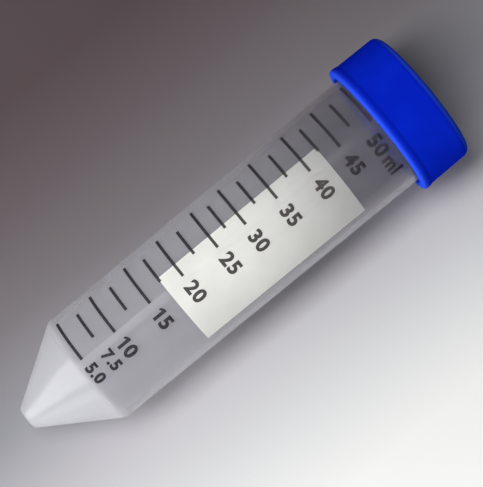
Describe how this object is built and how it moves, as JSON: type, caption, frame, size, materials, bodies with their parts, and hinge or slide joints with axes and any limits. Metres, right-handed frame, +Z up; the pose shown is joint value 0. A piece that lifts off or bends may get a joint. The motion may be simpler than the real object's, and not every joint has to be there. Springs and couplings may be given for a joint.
{
  "type": "conical tube",
  "caption": "Graduated conical centrifuge tube with a screw cap, for holding, spinning down and storing liquid samples.",
  "frame": {"origin": "on the surface that the lying tube rests on, under the middle of its outline", "axes": "+X along the lying tube from tip to cap, level, while the tube's own axis rises towards the cap by the lean that the wider cap gives it; +Z up"},
  "size_m": [0.1168, 0.0344, 0.0346],
  "materials": {
    "tube": "translucent natural polypropylene, moulded, satin",
    "cap": "opaque blue polyethylene, moulded, semi-gloss",
    "dark_print": "screen-printed near-black ink",
    "white_print": "screen-printed opaque white ink, matt so that it takes a pen"
  },
  "bodies": {
    "tube": {"tube_body": "tube", "graduation_lines": "dark_print", "writing_patch": "white_print"},
    "cap": {"screw_cap": "cap"}
  },
  "joints": [
    {"name": "cap_lift", "type": "slide", "parent": "tube", "child": "cap", "axis": [0.9993, 0, 0.0374], "range_m": [0, 0.03]}
  ]
}
